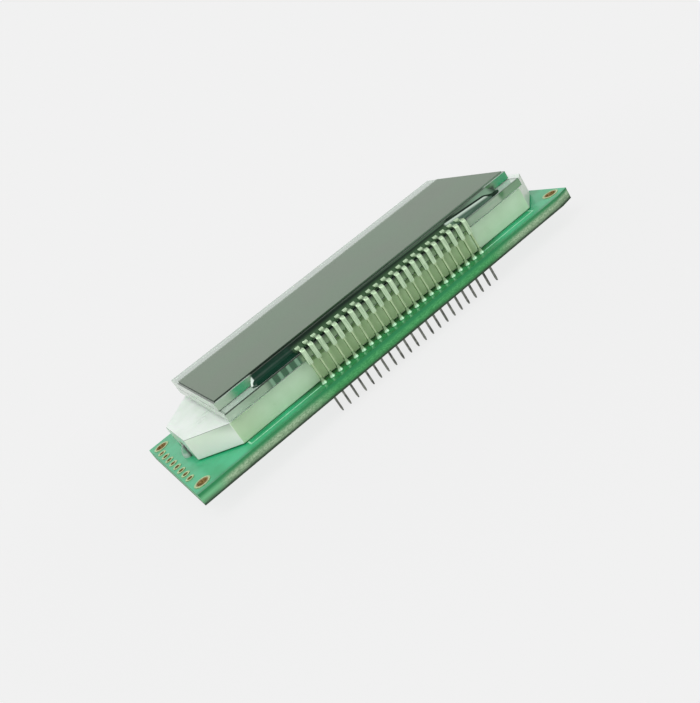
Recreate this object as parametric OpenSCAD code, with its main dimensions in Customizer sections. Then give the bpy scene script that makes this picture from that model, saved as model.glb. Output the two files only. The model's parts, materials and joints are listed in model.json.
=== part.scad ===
// Pin-type segment display cell on an edge-lit light guide, carried by a small circuit board.
// Millimetres. The origin is the centre of the board's underside, +Z towards the viewing face,
// +X along the pin row and -Y towards the pins.

/* [Board] */
// Length of the circuit board
board_l = 61.3; // [54:0.1:72]
// Depth of the circuit board
board_w = 25; // [24:0.1:32]
// Thickness of the circuit board
board_t = 1.6; // [1.2:0.1:2.4]
// How far the scored bevel runs in from each long edge
score_in = 0.3; // [0.1:0.05:0.5]
// Height of the scored bevel on each face
score_h = 0.45; // [0.2:0.05:0.55]
// Length of the broken-off corner along the front edge
corner_cut_l = 3.1; // [1:0.1:4.5]
// Depth of the broken-off corner
corner_cut_w = 0.8; // [0.4:0.1:1.2]

/* [Board holes] */
// Distance from the ends of the board to the corner holes
hole_edge_x = 1.45; // [1.4:0.05:2]
// Distance from the long edges of the board to the corner holes
hole_edge_y = 2.5; // [1.8:0.05:2.8]
// Finished diameter of a corner hole
corner_hole_d = 1.4; // [0.8:0.1:1.8]
// Diameter of the copper ring around a corner hole
corner_ring_d = 2.2; // [1.9:0.1:2.4]
// Number of wire holes in the row at the left end
wire_holes = 8; // [2:1:8]
// Distance from one wire hole to the next
wire_pitch = 2; // [1.5:0.1:2.1]
// Finished diameter of a wire hole
wire_hole_d = 0.7; // [0.4:0.05:0.9]
// Diameter of the copper ring around a wire hole
wire_pad_d = 1.2; // [1.05:0.05:1.4]
// Distance from the left end of the board to the wire holes
wire_edge = 0.85; // [0.8:0.05:1.1]
// Place of the middle of the wire row across the board
wire_row_y = 0.6; // [-0.6:0.1:0.6]
// Thickness of the copper on the faces and in the holes
copper_t = 0.05; // [0.02:0.01:0.08]

/* [Light guide] */
// Distance from the left end of the board to the tip of the light guide
guide_end_left = 3.1; // [3:0.1:5]
// Distance from the right end of the board to the tip of the light guide
guide_end_right = 0.9; // [0.9:0.1:3]
// Depth of the light guide
guide_w = 20.2; // [18:0.1:21]
// Thickness of the light guide
guide_t = 3.15; // [2.6:0.05:5]
// Length of the tapered left end
taper_left_l = 4.9; // [4:0.1:6]
// Length of the tapered right end
taper_right_l = 3.9; // [3:0.1:5]
// Depth of the light guide at its left tip
tip_w = 8.9; // [6:0.1:12]
// Thickness of the white reflector under the light guide
reflector_t = 0.15; // [0.1:0.05:0.3]
// Thickness of the diffuser film on the light guide
diffuser_t = 0.2; // [0.1:0.05:0.3]
// How far both films stay inside the edges of the light guide
film_inset = 0.5; // [0.2:0.1:1.5]

/* [Display cell] */
// How far the glass plates run past each end of the straight middle of the light guide
glass_over = 0; // [0:0.1:1]
// Depth of the rear glass, ledge included
rear_glass_w = 22.4; // [20:0.1:22.5]
// Depth of the ledge that carries the pins
ledge_w = 2.1; // [1.8:0.05:4]
// How far the ledge stands out in front of the light guide
ledge_out = 1; // [0.8:0.05:1.4]
// Thickness of each glass plate
glass_t = 1.1; // [0.7:0.1:1.5]
// Gap between the glass plates
cell_gap = 0.05; // [0.03:0.01:0.1]
// Thickness of each polariser
polarizer_t = 0.2; // [0.15:0.05:0.3]
// How far the polarisers stay inside the front and both ends of the front glass
polarizer_inset = 0.3; // [0.1:0.1:1]
// Width of bare glass left behind the polarisers
bare_back_w = 3.4; // [0.5:0.1:4]
// Width of the seal line between the plates
seal_w = 1.2; // [0.6:0.1:2]
// How far the seal line stays inside the front glass
seal_inset = 0.4; // [0.2:0.1:1]
// Length of the plug that closes the filling port
plug_l = 5; // [3:0.5:8]
// How far the plug stands out of the glass edge
plug_d = 0.5; // [0.3:0.05:0.8]

/* [Pins] */
// Number of pins
pin_count = 22; // [4:1:23]
// Distance from one pin to the next
pin_pitch = 1.27; // [1.15:0.01:1.3]
// Distance from the front edge of the board to the middle of the pin row
pin_edge = 1.85; // [1.4:0.05:2.2]
// How far the middle of the pin row lies to the right of the middle of the display
pin_row_shift = 0.9; // [0:0.1:1.2]
// Thickness of the pin metal
pin_t = 0.25; // [0.2:0.01:0.28]
// Width of the clip that holds the glass
clip_w = 0.62; // [0.5:0.01:0.7]
// Width of the lead below the clip
lead_w = 0.24; // [0.2:0.01:0.34]
// How far the clip plate runs below the rear glass
clip_drop = 0.62; // [0.5:0.02:0.8]
// Distance from the tip of the finger on the ledge to the front glass
finger_gap = 0.55; // [0.2:0.05:1]
// Distance from the tip of the tongue under the ledge to the light guide
tongue_gap = 0.07; // [0.05:0.01:0.2]
// Width of the tongue under the ledge
tongue_w = 0.36; // [0.2:0.01:0.48]
// How far the pins stand out below the board
pin_reach = 2.6; // [1:0.1:6]
// Diameter of the pin holes in the board
pin_hole_d = 0.6; // [0.5:0.02:0.7]
// Diameter of a solder fillet on the board
solder_d = 0.85; // [0.7:0.05:1.1]
// Height of a solder fillet
solder_h = 0.9; // [0.4:0.05:1.4]

/* [Pin sealant] */
// Distance from the right end of the ledge to the sealant
bead_end = 2.85; // [1:0.05:5]
// Thickness of the sealant on the ledge
bead_coat = 0.12; // [0.05:0.01:0.15]
// Bare ledge left in front of the sealant
bead_setback = 0.3; // [0.1:0.05:0.6]
// How far the sealant stays below the top of the front glass
bead_drop = 0.12; // [0.05:0.01:0.3]

/* [Lamps] */
// Radius of the clear dome over each lamp
dome_r = 1.6; // [1.2:0.05:1.65]
// Side of the lamp chip
die_w = 0.4; // [0.25:0.05:0.6]
// Height of the lamp chip
die_h = 0.25; // [0.15:0.05:0.4]
// How far each lamp sits inside the tip of the light guide
lamp_inset = 0.75; // [0.7:0.05:1.2]
// Clearance around the dome in the light guide
dome_gap = 0.25; // [0.1:0.05:0.5]

/* [Hidden] */
$fn = 48;

// Clearance between a pin and the glass or sealant that it touches
pin_gap = 0.02;
// How far cutting shapes run past the faces that they cut
past = 1;

// Heights of the stack, from the board's underside up
z_board = board_t;
z_guide = z_board + reflector_t;
z_diffuser = z_guide + guide_t;
z_rear_pol = z_diffuser + diffuser_t;
z_rear = z_rear_pol + polarizer_t;
z_ledge = z_rear + glass_t;
z_front = z_ledge + cell_gap;
z_front_pol = z_front + glass_t;

// Places across the board, from the pin row back
y_lead = pin_edge - board_w / 2;
y_plate = y_lead + pin_t / 2;
y_ledge = y_plate + pin_gap;
y_guide = y_ledge + ledge_out + guide_w / 2;
y_cell = y_ledge + ledge_w;
front_glass_w = rear_glass_w - ledge_w;
polarizer_w = front_glass_w - polarizer_inset - bare_back_w;

// Lengths along the board
guide_l = board_l - guide_end_left - taper_left_l - taper_right_l - guide_end_right;
cell_l = guide_l + 2 * glass_over;

// Places along the board
display_x = guide_end_left + taper_left_l + guide_l / 2 - board_l / 2;
pin_mid_x = display_x + pin_row_shift;
wire_x = wire_edge - board_l / 2;
tip_left_x = -guide_l / 2 - taper_left_l;
tip_right_x = guide_l / 2 + taper_right_l;
lamp_left_x = display_x + tip_left_x + lamp_inset;
lamp_right_x = display_x + tip_right_x - lamp_inset;

// Both tapers close in at the same angle
tip_right_w = guide_w - (guide_w - tip_w) * taper_right_l / taper_left_l;

// Clip: radius and start of the bend over the ledge, contact point and raised tip of the finger
bend_r = 0.3;
bend_start = 0.05;
contact_share = 0.7;
tip_rise = 0.25;
tongue_dip = 0.05;
curve_steps = 8;

// Lead: height of the shoulders under the clip, and the point at its end
shoulder_h = 0.25;
point_h = 0.35;
point_w = 0.12;

// Solder: thickness of the neck around the lead, and rings along the hollow cone
solder_neck = 0.05;
solder_steps = 6;

// Sealant: size of its section and length of its plan
bead_w = ledge_w - bead_setback;
bead_r = glass_t + cell_gap - bead_drop - bead_coat;
bead_l = cell_l - 2 * pin_row_shift - 2 * bead_end;

function pin_name(i) = str("pin_", i < 10 ? "0" : "", i);
function pin_x(i) = pin_mid_x + (i - (pin_count + 1) / 2) * pin_pitch;
function wire_y(i) = wire_row_y + (i - (wire_holes + 1) / 2) * wire_pitch;

// Outline of a bent strip of even thickness along a path that sets off level
function strip_way(p, i) = i == 0 ? [1, 0] : p[min(i + 1, len(p) - 1)] - p[i - 1];
function strip_side(p, i) = [-strip_way(p, i)[1], strip_way(p, i)[0]] / norm(strip_way(p, i));
function strip(p, t) = concat(
    [for (i = [0:len(p) - 1]) p[i] + strip_side(p, i) * t / 2],
    [for (i = [len(p) - 1:-1:0]) p[i] - strip_side(p, i) * t / 2]);

// Middle line of the finger past its bend, in depth behind the plate and height over the ledge
finger_l = ledge_w + pin_gap - finger_gap;
finger_from = bend_r - pin_t / 2;
finger_top = bend_r - bend_start;
finger_touch = pin_t / 2 + pin_gap;
contact_at = finger_l * contact_share;
finger_path = concat(
    [for (i = [0:curve_steps])
        let (s = i / curve_steps)
        [finger_from + (contact_at - finger_from) * s,
         finger_top + (finger_touch - finger_top) * (1 - cos(180 * s)) / 2]],
    [for (i = [1:curve_steps])
        let (s = i / curve_steps)
        [contact_at + (finger_l - contact_at) * s, finger_touch + tip_rise * s * s]]);

// Middle line of the tongue, in depth behind the plate and height over the underside of the glass
tongue_l = ledge_out + pin_gap - tongue_gap;
tongue_touch = -pin_t / 2 - pin_gap;
tongue_path = concat(
    [[-pin_t / 2, tongue_touch - tongue_dip]],
    [for (i = [0:curve_steps])
        let (s = i / curve_steps)
        [tongue_l * s, tongue_touch - tongue_dip * (1 - s) * (1 - s)]]);

// Repeats its children on every corner hole, wire hole or pin
module at_corner_holes() {
    for (sx = [-1, 1], sy = [-1, 1])
        translate([sx * (board_l / 2 - hole_edge_x), sy * (board_w / 2 - hole_edge_y), 0]) children();
}

module at_wire_holes() {
    for (i = [1:wire_holes])
        translate([wire_x, wire_y(i), 0]) children();
}

module at_pins() {
    for (i = [1:pin_count])
        translate([pin_x(i), y_lead, 0]) children();
}

// A slab centred along the row on x, with its front face at y and its underside at z
module slab(l, w, t, x, y, z) {
    translate([x - l / 2, y, z]) cube([l, w, t]);
}

// A shape drawn in depth and height, drawn out to a width along the pin row
module across_row(w) {
    translate([-w / 2, 0, 0]) rotate([90, 0, 90]) linear_extrude(w) children();
}

module drill(d) {
    translate([0, 0, -past]) cylinder(h = board_t + 2 * past, d = d);
}

// Section of the board, scored along both long edges
module board_section() {
    h = board_w / 2;
    polygon([[score_in - h, 0], [h - score_in, 0], [h, score_h], [h, board_t - score_h],
             [h - score_in, board_t], [score_in - h, board_t], [-h, board_t - score_h], [-h, score_h]]);
}

module corner_break() {
    translate([board_l / 2, -board_w / 2, -past])
        linear_extrude(board_t + 2 * past)
            polygon([[-corner_cut_l, 0], [-corner_cut_l, -past], [past, -past],
                     [past, corner_cut_w], [0, corner_cut_w]]);
}

module circuit_board() {
    color([0.13, 0.55, 0.36])
    difference() {
        across_row(board_l) board_section();
        corner_break();
        at_corner_holes() drill(corner_hole_d + 2 * copper_t);
        at_wire_holes() drill(wire_hole_d + 2 * copper_t);
        at_pins() drill(pin_hole_d);
    }
}

// A plated hole, turned from its section: a barrel in the board with a thin ring on each face
module plated_ring(hole_d, ring_d) {
    bore = hole_d / 2;
    barrel = bore + copper_t;
    ring = ring_d / 2;
    rotate_extrude()
        polygon([[bore, -copper_t], [ring, -copper_t], [ring, 0], [barrel, 0], [barrel, board_t],
                 [ring, board_t], [ring, board_t + copper_t], [bore, board_t + copper_t]]);
}

module corner_hole_rings() {
    color([0.62, 0.42, 0.25]) at_corner_holes() plated_ring(corner_hole_d, corner_ring_d);
}

module wire_hole_rings() {
    color([0.68, 0.55, 0.35]) at_wire_holes() plated_ring(wire_hole_d, wire_pad_d);
}

module lamp_chip(x) {
    color([0.85, 0.82, 0.5]) slab(die_w, die_w, die_h, x, y_guide - die_w / 2, z_board);
}

// A clear half ball moulded over the chip
module lamp_dome(x) {
    color([0.85, 0.95, 0.9, 0.5])
    difference() {
        translate([x, y_guide, z_board]) sphere(r = dome_r);
        slab(4 * dome_r, 4 * dome_r, 2 * dome_r, x, y_guide - 2 * dome_r, z_board - 2 * dome_r);
        slab(die_w, die_w, die_h + past, x, y_guide - die_w / 2, z_board - past);
    }
}

// Plan of the light guide: a rectangle that closes in to a tip at each end
module guide_plan() {
    l = guide_l / 2;
    w = guide_w / 2;
    polygon([[tip_left_x, -tip_w / 2], [-l, -w], [l, -w], [tip_right_x, -tip_right_w / 2],
             [tip_right_x, tip_right_w / 2], [l, w], [-l, w], [tip_left_x, tip_w / 2]]);
}

module light_guide() {
    color([0.86, 0.93, 0.87])
    difference() {
        translate([display_x, y_guide, z_guide]) linear_extrude(guide_t) guide_plan();
        for (x = [lamp_left_x, lamp_right_x])
            translate([x, y_guide, z_board])
                cylinder(h = dome_r + dome_gap, r = dome_r + dome_gap);
    }
}

// A film over the straight middle of the light guide, less its inset
module guide_film(t, z) {
    slab(guide_l - 2 * film_inset, guide_w - 2 * film_inset, t,
         display_x, y_guide - guide_w / 2 + film_inset, z);
}

module reflector_sheet() {
    color("white") guide_film(reflector_t, z_board);
}

module diffuser_sheet() {
    color([0.95, 0.96, 0.94]) guide_film(diffuser_t, z_diffuser);
}

module polarizer(z) {
    slab(cell_l - 2 * polarizer_inset, polarizer_w, polarizer_t, display_x, y_cell + polarizer_inset, z);
}

module rear_polarizer() {
    color([0.45, 0.5, 0.46]) polarizer(z_rear_pol);
}

module front_polarizer() {
    color([0.5, 0.55, 0.51]) polarizer(z_front_pol);
}

module rear_glass() {
    color([0.75, 0.88, 0.82, 0.6]) slab(cell_l, rear_glass_w, glass_t, display_x, y_ledge, z_rear);
}

module front_glass() {
    color([0.75, 0.88, 0.82, 0.6]) slab(cell_l, front_glass_w, glass_t, display_x, y_cell, z_front);
}

// The gap between the plates, less a border, from a height up
module cell_area(border, t, z) {
    slab(cell_l - 2 * border, front_glass_w - 2 * border, t, display_x, y_cell + border, z);
}

module cell_seal() {
    color([0.3, 0.34, 0.3])
    difference() {
        cell_area(seal_inset, cell_gap, z_ledge);
        cell_area(seal_inset + seal_w, cell_gap + 2 * past, z_ledge - past);
    }
}

module liquid_crystal() {
    color([0.7, 0.75, 0.7]) cell_area(seal_inset + seal_w, cell_gap, z_ledge);
}

// A dab of sealant over the joint of the two plates, in the middle of the back edge
module filling_port_plug() {
    plug_r = (plug_d * plug_d + plug_l * plug_l / 4) / (2 * plug_d);
    plug_h = glass_t + cell_gap;
    z_plug = z_ledge + cell_gap / 2 - plug_h / 2;
    y_back = y_ledge + rear_glass_w;
    color([0.8, 0.78, 0.6])
    intersection() {
        translate([display_x, y_back + plug_d - plug_r, z_plug]) cylinder(h = plug_h, r = plug_r, $fn = 96);
        slab(plug_l + past, plug_d + past, plug_h, display_x, y_back, z_plug);
    }
}

// Front outline of the clip plate and its lead
module pin_front() {
    c = clip_w / 2;
    l = lead_w / 2;
    p = point_w / 2;
    top = z_ledge - bend_start;
    low = z_rear - clip_drop;
    polygon([[-c, top], [-c, low], [-l, low - shoulder_h], [-l, point_h - pin_reach], [-p, -pin_reach],
             [p, -pin_reach], [l, point_h - pin_reach], [l, low - shoulder_h], [c, low], [c, top]]);
}

// Quarter bend that turns the top of the plate back over the ledge
module finger_bend() {
    outer = bend_r + pin_t / 2;
    translate([finger_from, -bend_start])
    intersection() {
        difference() {
            circle(r = outer);
            circle(r = bend_r - pin_t / 2);
        }
        translate([-outer, 0]) square(outer);
    }
}

// A stamped pin: clip plate, finger over the ledge, tongue under it and lead
module clip_pin() {
    translate([0, y_plate, 0]) rotate([90, 0, 0]) linear_extrude(pin_t) pin_front();
    translate([0, y_plate, z_ledge]) across_row(clip_w) {
        finger_bend();
        polygon(strip(finger_path, pin_t));
    }
    translate([0, y_plate, z_rear]) across_row(tongue_w) polygon(strip(tongue_path, pin_t));
}

module pin(i) {
    color([0.83, 0.86, 0.82]) translate([pin_x(i), 0, 0]) clip_pin();
}

// Section of the sealant: a thin coat on the ledge with a hollow fillet up the front glass
module bead_section() {
    translate([y_ledge + bead_setback, z_ledge]) {
        square([bead_w, bead_coat]);
        difference() {
            translate([bead_w - bead_r, 0]) square([bead_r, bead_coat + bead_r]);
            translate([bead_w - bead_r, bead_coat + bead_r]) circle(r = bead_r);
        }
    }
}

// Plan of the sealant: a bar with round ends
module bead_plan() {
    straight = bead_l - bead_w;
    translate([pin_mid_x, y_cell - bead_w / 2]) {
        square([straight, bead_w], center = true);
        for (side = [-1, 1])
            translate([side * straight / 2, 0]) circle(d = bead_w);
    }
}

module pin_sealant() {
    color([0.06, 0.13, 0.1])
    difference() {
        intersection() {
            translate([pin_mid_x, 0, 0]) across_row(bead_l) bead_section();
            translate([0, 0, z_ledge - past]) linear_extrude(glass_t + 2 * past) bead_plan();
        }
        for (i = [1:pin_count])
            slab(clip_w + 2 * pin_gap, finger_l + pin_gap, glass_t + 2 * past, pin_x(i), y_plate, z_ledge - past);
    }
}

// Solder that fills a pin hole and wets up the lead in a hollow cone
module solder_joint() {
    neck = norm([lead_w, pin_t]) / 2 + solder_neck;
    spread = solder_d / 2 - neck;
    difference() {
        union() {
            cylinder(h = board_t, d = pin_hole_d);
            translate([0, 0, z_board]) rotate_extrude()
                polygon(concat([[0, 0]],
                    [for (i = [0:solder_steps])
                        let (s = i / solder_steps)
                        [neck + spread * (1 - s) * (1 - s), solder_h * s]],
                    [[0, solder_h]]));
        }
        slab(lead_w, pin_t, board_t + solder_h + 2 * past, 0, -pin_t / 2, -past);
    }
}

module solder_joints() {
    color([0.8, 0.85, 0.82]) at_pins() solder_joint();
}

circuit_board();
corner_hole_rings();
wire_hole_rings();
lamp_chip(lamp_left_x);  // lamp_chip_left
lamp_chip(lamp_right_x);  // lamp_chip_right
lamp_dome(lamp_left_x);  // lamp_dome_left
lamp_dome(lamp_right_x);  // lamp_dome_right
reflector_sheet();
light_guide();
diffuser_sheet();
rear_polarizer();
rear_glass();
cell_seal();
liquid_crystal();
front_glass();
front_polarizer();
filling_port_plug();
pin_sealant();
solder_joints();
for (i = [1:pin_count])
    pin(i);
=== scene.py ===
import json
import math

import bmesh
import bpy
from mathutils import Matrix, Vector


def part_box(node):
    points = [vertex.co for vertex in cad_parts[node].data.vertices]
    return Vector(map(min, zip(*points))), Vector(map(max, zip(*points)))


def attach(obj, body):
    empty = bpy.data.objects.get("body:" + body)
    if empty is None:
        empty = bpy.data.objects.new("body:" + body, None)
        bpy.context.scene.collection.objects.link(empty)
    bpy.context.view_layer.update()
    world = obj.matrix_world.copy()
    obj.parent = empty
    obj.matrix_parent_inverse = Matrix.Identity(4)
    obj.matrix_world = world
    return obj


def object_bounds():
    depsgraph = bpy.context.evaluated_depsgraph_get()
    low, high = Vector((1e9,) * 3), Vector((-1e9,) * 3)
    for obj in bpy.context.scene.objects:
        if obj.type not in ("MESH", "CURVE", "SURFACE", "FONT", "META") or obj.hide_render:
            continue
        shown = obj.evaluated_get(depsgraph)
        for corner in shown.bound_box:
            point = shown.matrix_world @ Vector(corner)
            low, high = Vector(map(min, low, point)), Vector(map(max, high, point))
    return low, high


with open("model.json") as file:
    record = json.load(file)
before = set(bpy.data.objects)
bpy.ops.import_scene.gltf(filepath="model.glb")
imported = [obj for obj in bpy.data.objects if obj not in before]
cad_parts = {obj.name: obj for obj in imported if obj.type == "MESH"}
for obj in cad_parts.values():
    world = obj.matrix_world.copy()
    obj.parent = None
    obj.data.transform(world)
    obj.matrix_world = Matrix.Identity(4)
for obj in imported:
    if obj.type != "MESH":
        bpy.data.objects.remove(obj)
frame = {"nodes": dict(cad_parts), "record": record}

# Looks of a segment display on a lit circuit board: finishes, printed outline, light, floor and camera.
# Objects are in metres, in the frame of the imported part: +Z is the viewing face and -Y the pin side.
# The finishes measure in millimetres along the same axes.
MM = 0.001
X, Y, Z = 0, 1, 2
cad_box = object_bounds()


def span(node, axis):
    """Where a node starts and ends along an axis, in millimetres."""
    low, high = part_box(node)
    return low[axis] / MM, high[axis] / MM


# Places of the pieces in millimetres; the middle of the light guide is as long as the film on it
PIN_ROW = (span("pin_01", X)[0], span("pin_22", X)[1])
PIN_PITCH = span("pin_02", X)[0] - PIN_ROW[0]
BOARD_LEFT = span("circuit_board", X)[0]
BOARD_FRONT = span("circuit_board", Y)[0]
BOARD_TOP = span("circuit_board", Z)[1]
GUIDE_ENDS = span("light_guide", X)
GUIDE_HALF = (GUIDE_ENDS[1] - GUIDE_ENDS[0]) / 2
GUIDE_FRONT = span("light_guide", Y)[0]
GUIDE_TOP = span("light_guide", Z)[1]
GUIDE_MIDDLE = span("diffuser_sheet", X)
LEDGE_FRONT = span("rear_glass", Y)[0]
LEDGE_TOP = span("rear_glass", Z)[1]
CELL_ENDS = span("front_glass", X)
CELL_FRONT = span("front_glass", Y)[0]
FILM_ENDS = span("front_polarizer", X)
FILM_BACK = span("front_polarizer", Y)[1]
RESIN_ENDS = span("pin_sealant", X)
RESIN_FRONT = span("pin_sealant", Y)[0]

# Foot of the clip plates, a little below the top of the light guide
CLIP_DROP = 0.2
CLIP_FOOT = GUIDE_TOP - CLIP_DROP

# Each pair below is a stretch in millimetres: a tone lies on it, or comes or goes over it.
# Middle of the part, where the half with the pins ends
PIN_SIDE_END = (-1.0, 1.0)

# Board: its green left end, then by height in its edge, then on its green face
EDGE_GREEN_END = (BOARD_LEFT + 2.0, BOARD_LEFT + 4.5)
# Painted shade in the edge by height: its lower part, its lower rim, and a dark green band along its top
EDGE_LOWER_SHADE = (0.2, 1.0)
EDGE_BOTTOM_SHADE = (0.15, 0.5)
EDGE_TOP_SHADE = (0.95, 1.45)
COPPER_STRETCH = (PIN_ROW[0] - 2.0, PIN_ROW[1] + 2.0)
COPPER_BACK = (GUIDE_FRONT - 1.5, GUIDE_FRONT)
# Painted shade at the guide's foot by the pins, painted light in the slot under the guide, painted shadow
# along the front rim
GUIDE_FOOT_SHADE = (GUIDE_FRONT - 0.8, GUIDE_FRONT + 1.0)
GUIDE_SLOT_GLOW = (GUIDE_FRONT, GUIDE_FRONT + 1.0)
MASK_FRONT_SHADOW = (BOARD_FRONT + 0.3, BOARD_FRONT + 1.3)

# Corner holes: radius of the ring, end of its worn inner part, and middle of the hole at +X and +Y
CORNER_RING = 1.1
CORNER_WORN = (CORNER_RING - 0.26, CORNER_RING - 0.22)
CORNER_HOLE = [span("corner_hole_rings", axis)[1] - CORNER_RING for axis in (X, Y)]

# Lamp domes: shade that ends just past the end of the light guide, by distance from its middle
DOME_SHADE = (GUIDE_HALF + 0.05, GUIDE_HALF + 0.35)

# Light guide: yellower left part, front face, stretch behind the pins, then by height
GUIDE_LEFT = (GUIDE_MIDDLE[0], GUIDE_MIDDLE[0] + 6.0)
GUIDE_FACE = (GUIDE_FRONT + 0.1, GUIDE_FRONT + 0.5)
# Painted shade on the front face behind the pins, and a darker painted shadow under the clips
BEHIND_PINS = (PIN_ROW[0] + 0.4, PIN_ROW[1])
CLIP_SHADOW_RISE = (CLIP_FOOT - 0.45, CLIP_FOOT - 0.15)
# Painted light at the foot of the slanted ends
SLANT_LIGHT_FADE = (CLIP_FOOT - 2.6, CLIP_FOOT)
# Painted shade at the foot of the end faces over the lamps
TIP_SHADE_RISE = (BOARD_TOP + 0.2, BOARD_TOP + 1.8)

# Grey films: height from the rear to the front one, tones along the front one's edge, and its paler back
FILM_RISE = (LEDGE_TOP, LEDGE_TOP + 1.0)
FILM_EDGE_TONES = (PIN_ROW[0] - 2.0, PIN_ROW[0] + 4.0, PIN_ROW[1] + 2.0)
FILM_PALE_BACK = (FILM_BACK - 0.7, FILM_BACK)

# Edges of the glass on the pin side: dusk, dark spot, green casts, painted shade of the clips and the
# resin's end, and painted reflections of the pins
DUSK_LEFT = (CELL_ENDS[0] + 1.0, CELL_ENDS[0] + 4.0)
DUSK_RIGHT = (PIN_ROW[1] + 1.0, PIN_ROW[1] + 4.0)
DARK_SPOT = CELL_ENDS[1] - 3.4
DARK_SPOT_LEFT = (DARK_SPOT - 0.6, DARK_SPOT)
DARK_SPOT_REACH = 0.8
DARK_SPOT_RISE = (LEDGE_TOP - 1.0, LEDGE_TOP - 0.2)
GREEN_CASTS = (RESIN_ENDS[0] - 1.0, CELL_ENDS[1] - 1.1)
GREEN_CAST_HALF = 1.2
CLIPPED = (PIN_ROW[0] - 5.3, PIN_ROW[1])
CLIP_SHADE = (LEDGE_TOP - 0.7, LEDGE_TOP - 0.15)
# End of the pale bars painted as reflections of the pins
PIN_REFLECTIONS_END = (PIN_ROW[0] - 0.6, PIN_ROW[0] - 0.2)
RESIN_END_PATCH = (RESIN_ENDS[1] - 0.6, RESIN_ENDS[1] + 0.3)
RESIN_END_RISE = (LEDGE_TOP + 0.4, LEDGE_TOP + 0.9)

# Glass plates: height between them, front edge of the ledge with its dark corner, dark ledge at the pins,
# back end of the strips beside the film, and the front that the resin wets
PLATE_RISE = (LEDGE_TOP - 0.05, LEDGE_TOP + 0.05)
LEDGE_EDGE = (LEDGE_FRONT + 0.1, LEDGE_FRONT + 0.2)
LEDGE_ARRIS = (LEDGE_TOP - 0.12, LEDGE_TOP + 0.1)
LEDGE_ARRIS_END = (PIN_ROW[1], PIN_ROW[1] + 0.5)
LEDGE_BACK = (CELL_FRONT - 0.3, CELL_FRONT - 0.1)
LEDGE_RISE = (LEDGE_TOP - 0.2, LEDGE_TOP - 0.1)
STRIPS_BACK = (FILM_BACK - 0.1, FILM_BACK)
WETTED = (RESIN_ENDS[0] + 0.8, RESIN_ENDS[1] - 1.0)
WETTED_BACK = (CELL_FRONT + 0.3, CELL_FRONT + 0.4)
WETTED_TONES = (PIN_ROW[0], PIN_ROW[1] + 2.0)

# Dark resin: round left end with a painted highlight rim, greener patch left of the pins, and paler glints
# between them
RESIN_RADIUS = (CELL_FRONT - RESIN_FRONT) / 2
ROUND_MIDDLE = (RESIN_ENDS[0] + RESIN_RADIUS, RESIN_FRONT + RESIN_RADIUS)
# Painted highlight rim on the round left end
GLINT_RIM_START = (RESIN_RADIUS - 0.3, RESIN_RADIUS - 0.2)
GLINT_RIM_RIGHT = (ROUND_MIDDLE[X] - 0.2, ROUND_MIDDLE[X])
GLINT_RIM_FRONT = (ROUND_MIDDLE[Y] - 0.1, ROUND_MIDDLE[Y] + 0.1)
PATCH_END = (PIN_ROW[0] - 0.8, PIN_ROW[0])
GLINTS = (PIN_ROW[0] - 0.2, PIN_ROW[1] + 0.2)
GLINT_RISE = (LEDGE_TOP + 0.25, LEDGE_TOP + 0.85)
GLINT_FRONT = (RESIN_FRONT + 0.3, RESIN_FRONT + 0.8)

# Levels in the resin, in millimetres over the ledge. They rise by the lean per millimetre to the front,
# and past the last pin they sink by the slope per millimetre to the right.
LEVEL_LEAN = 0.377
LEVEL_SLOPE = 0.076
# Levels of the painted sheen, of thin resin, of the painted highlight and of the dark line
SHEEN_LEVELS = (0.93, 0.72)
SHEEN_SOFTNESS = 0.15
THIN_END = (0.05, 0.56)
HIGHLIGHT_START = (0.05, 0.44)
HIGHLIGHT_END = (0.52, 0.6)
DARK_LINE_END = (0.77, 0.87)

# Stretches of the resin: a painted sheen along the pins, and then, counted from the last pin, a painted
# highlight with thin resin, clear over the dark line, and with that line bent down
SHEEN_STRETCH = (PIN_ROW[0], PIN_ROW[1] - 1.5)
PAST_PINS_RUN = (-1.7, 5.25)
CLEAR_START = (-1.0, 1.0)
CLEAR_TONES = (1.5, 4.5)
CLEAR_END = (5.8, 6.6)
LINE_BEND = (4.8, 6.2)
LINE_BEND_DROP = 0.5

# Pins and solder by height
LEAD_TOP = (CLIP_FOOT - 0.2, CLIP_FOOT)
# Painted shade on the pins below the board
BOARD_SHADE_TOP = (-0.2, 0.2)
# Painted reflection of the green board at the solder's foot
SOLDER_BOARD_REFLECTION = (BOARD_TOP + 0.03, BOARD_TOP + 0.12)
SOLDER_NECK = (BOARD_TOP + 0.2, BOARD_TOP + 0.5)

# Printed outline on the board
PRINT_WIDTH = 0.2 * MM
PRINT_HEIGHT = 0.015 * MM
PRINT_INSET = 0.6 * MM
PRINT_GAP = 0.2 * MM

# Broken edges: width for each finish, and what counts as one point, a flat and a sharp edge
EDGE_WIDTHS = {
    "board": 0.03 * MM,
    "light_guide": 0.1 * MM,
    "glass": 0.06 * MM,
    "polarizer": 0.03 * MM,
    "pin": 0.04 * MM,
    "sealant": 0.1 * MM,
}
EDGE_STEPS = 2
SAME_POINT = 0.001 * MM
FLAT_ANGLE = math.radians(0.5)
SHARP_ANGLE = math.radians(30)

# Camera, found from the corners of the board and the glass in the photograph of 700 by 703 pixels
PHOTO_WIDTH = 700
FOCAL_PIXELS = 909.2
SENSOR_WIDTH = 36.0
CAMERA_PLACE = Vector((-36.0, -109.3, 39.6)) * MM
CAMERA_AZIMUTH = math.radians(16.9)
CAMERA_ELEVATION = math.radians(19.7)
CAMERA_ROLL = math.radians(33.65)
CAMERA_NEAR = 1 * MM

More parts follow.
